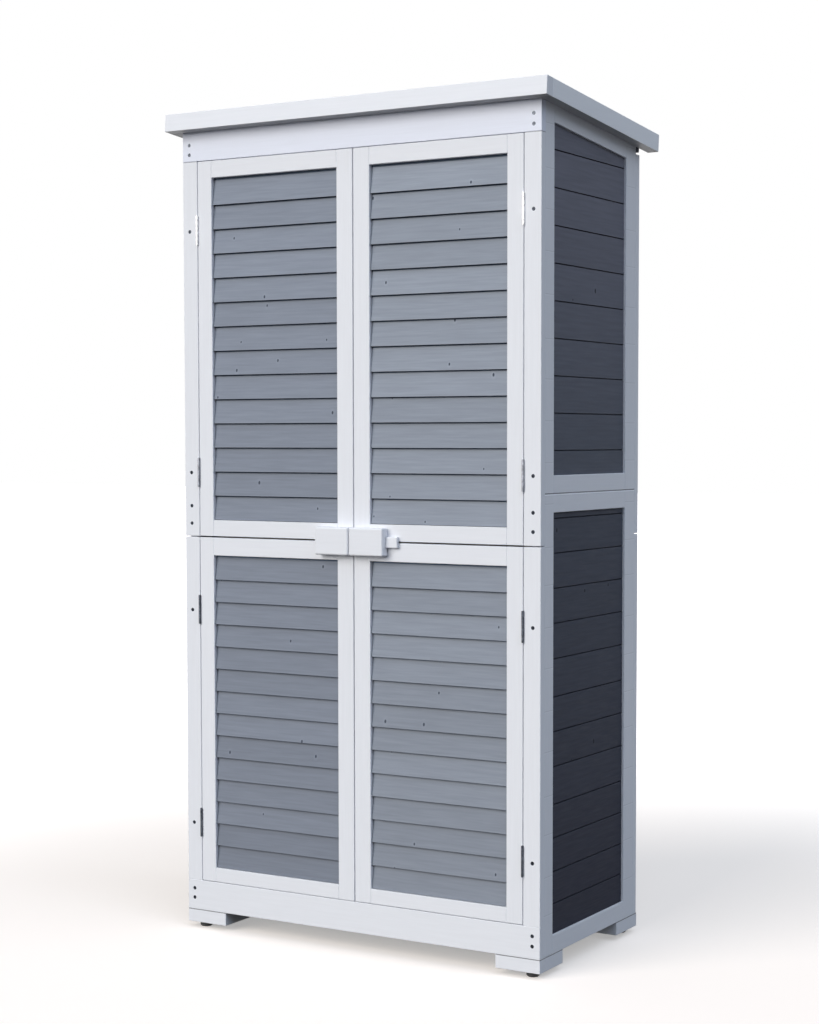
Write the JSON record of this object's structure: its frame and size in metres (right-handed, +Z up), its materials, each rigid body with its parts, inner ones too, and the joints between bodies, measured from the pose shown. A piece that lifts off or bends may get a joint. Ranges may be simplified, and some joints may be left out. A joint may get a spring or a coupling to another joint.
{
  "type": "garden storage cabinet",
  "caption": "Tall free-standing painted wooden garden cabinet with louvred doors, panelled sides, a sloping roof, shelves and a sliding bar latch.",
  "frame": {"origin": "bottom centre of the bounding box, on the floor under the glides", "axes": "+Z up, the door front faces -Y, +X to the right as seen from the front"},
  "size_m": [0.877, 0.4998, 1.6816],
  "materials": {
    "white_painted_wood": "white paint on planed fir, satin",
    "grey_stained_wood": "blue-grey stain on fir, grain and small knots showing",
    "bare_fir": "planed fir, unpainted",
    "roofing_felt": "mineral surfaced bitumen felt",
    "black_plastic": "moulded, matt",
    "zinc_screws": "dull zinc plate",
    "steel_hinges": "bright zinc plate"
  },
  "bodies": {
    "carcass": {"side_frame_upper_left": "white_painted_wood", "side_boards_upper_left": "grey_stained_wood", "front_post_upper_left": "white_painted_wood", "side_frame_upper_right": "white_painted_wood", "side_boards_upper_right": "grey_stained_wood", "front_post_upper_right": "white_painted_wood", "back_frame_upper": "white_painted_wood", "back_boards_upper": "grey_stained_wood", "side_frame_lower_left": "white_painted_wood", "side_boards_lower_left": "grey_stained_wood", "front_post_lower_left": "white_painted_wood", "side_frame_lower_right": "white_painted_wood", "side_boards_lower_right": "grey_stained_wood", "front_post_lower_right": "white_painted_wood", "back_frame_lower": "white_painted_wood", "back_boards_lower": "grey_stained_wood", "fascia_board": "white_painted_wood", "kick_board": "white_painted_wood", "head_rail": "bare_fir", "foot_blocks": "white_painted_wood", "glides": "black_plastic", "floor_boards": "bare_fir", "lower_shelf": "bare_fir", "middle_shelf": "bare_fir", "upper_shelf": "bare_fir", "shelf_cleats": "bare_fir", "roof_rim_front": "white_painted_wood", "roof_rim_left": "white_painted_wood", "roof_rim_right": "white_painted_wood", "roof_deck": "bare_fir", "roof_felt": "roofing_felt", "roof_battens": "bare_fir", "front_screws": "zinc_screws", "back_screws": "zinc_screws", "hinge_fixed_leaves": "steel_hinges", "hinge_pins": "steel_hinges", "hinge_fixed_screws": "zinc_screws"},
    "door_upper_left": {"door_frame_upper_left": "white_painted_wood", "door_slats_upper_left": "grey_stained_wood", "door_hinge_leaves_upper_left": "steel_hinges", "door_screws_upper_left": "zinc_screws", "latch_block_left": "white_painted_wood"},
    "door_upper_right": {"door_frame_upper_right": "white_painted_wood", "door_slats_upper_right": "grey_stained_wood", "door_hinge_leaves_upper_right": "steel_hinges", "door_screws_upper_right": "zinc_screws", "latch_block_right": "white_painted_wood"},
    "door_lower_left": {"door_frame_lower_left": "white_painted_wood", "door_slats_lower_left": "grey_stained_wood", "door_hinge_leaves_lower_left": "steel_hinges", "door_screws_lower_left": "zinc_screws"},
    "door_lower_right": {"door_frame_lower_right": "white_painted_wood", "door_slats_lower_right": "grey_stained_wood", "door_hinge_leaves_lower_right": "steel_hinges", "door_screws_lower_right": "zinc_screws"},
    "latch_bar": {"latch_bar": "white_painted_wood"}
  },
  "joints": [
    {"name": "door_upper_left_hinge", "type": "hinge", "parent": "carcass", "child": "door_upper_left", "pos_m": [-0.3773, -0.2245, 1.198], "axis": [0, 0, -1], "range_deg": [0, 180]},
    {"name": "door_upper_right_hinge", "type": "hinge", "parent": "carcass", "child": "door_upper_right", "pos_m": [0.3773, -0.2245, 1.198], "axis": [0, 0, 1], "range_deg": [0, 180]},
    {"name": "door_lower_left_hinge", "type": "hinge", "parent": "carcass", "child": "door_lower_left", "pos_m": [-0.3773, -0.2245, 0.446], "axis": [0, 0, -1], "range_deg": [0, 180]},
    {"name": "door_lower_right_hinge", "type": "hinge", "parent": "carcass", "child": "door_lower_right", "pos_m": [0.3773, -0.2245, 0.446], "axis": [0, 0, 1], "range_deg": [0, 180]},
    {"name": "latch_bar_slide", "type": "slide", "parent": "door_upper_right", "child": "latch_bar", "axis": [1, 0, 0], "range_m": [-0.024, 0]}
  ],
  "couplings": [
    {"joint": "door_lower_left_hinge", "follows": "door_upper_left_hinge", "ratio": 1},
    {"joint": "door_lower_right_hinge", "follows": "door_upper_right_hinge", "ratio": 1}
  ]
}
